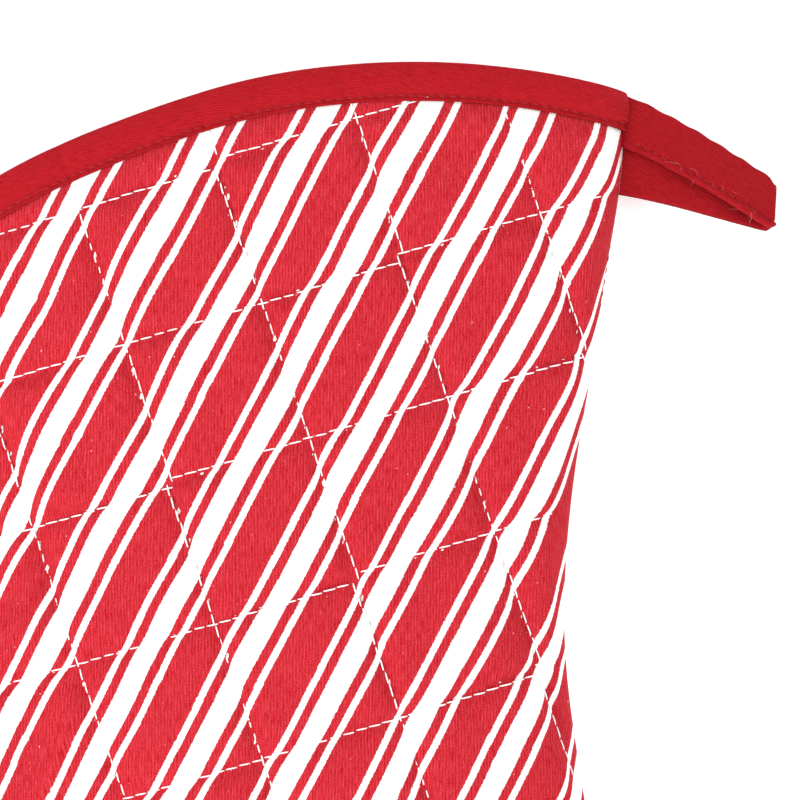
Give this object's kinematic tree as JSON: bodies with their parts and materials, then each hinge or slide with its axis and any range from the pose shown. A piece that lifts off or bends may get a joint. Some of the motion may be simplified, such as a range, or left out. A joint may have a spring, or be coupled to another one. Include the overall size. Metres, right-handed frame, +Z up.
{
  "type": "oven mitt",
  "caption": "Quilted cotton oven mitt with a thumb, a bound cuff and a hanging loop, lying flat on its back.",
  "frame": {"origin": "flat underside of the back panel, below the middle of the wrist", "axes": "+Y from the fingertips to the cuff, +Z up from the table, thumb on the -X side"},
  "size_m": [0.2612, 0.331, 0.0348],
  "materials": {
    "striped_twill": "red cotton twill with white stripes",
    "wadding": "white cotton wadding",
    "lining": "off-white plain cotton",
    "red_tape": "red twill tape",
    "white_thread": "white cotton thread",
    "red_thread": "red cotton thread"
  },
  "bodies": {
    "mitt": {"front_shell": "striped_twill", "front_wadding": "wadding", "front_lining": "lining", "front_quilting_thread": "white_thread", "back_shell": "striped_twill", "back_wadding": "wadding", "back_lining": "lining", "back_quilting_thread": "white_thread", "cuff_binding": "red_tape", "front_binding_topstitch": "red_thread", "back_binding_topstitch": "red_thread", "side_seam_thread": "red_thread"},
    "loop": {"hanging_loop": "red_tape", "loop_edge_stitch": "red_thread"}
  },
  "joints": [
    {"name": "loop_swing", "type": "hinge", "parent": "mitt", "child": "loop", "pos_m": [0.09285, 0.12408, 0.011], "axis": [-0.0608, -0.9981, 0], "range_deg": [-85, 85]}
  ]
}
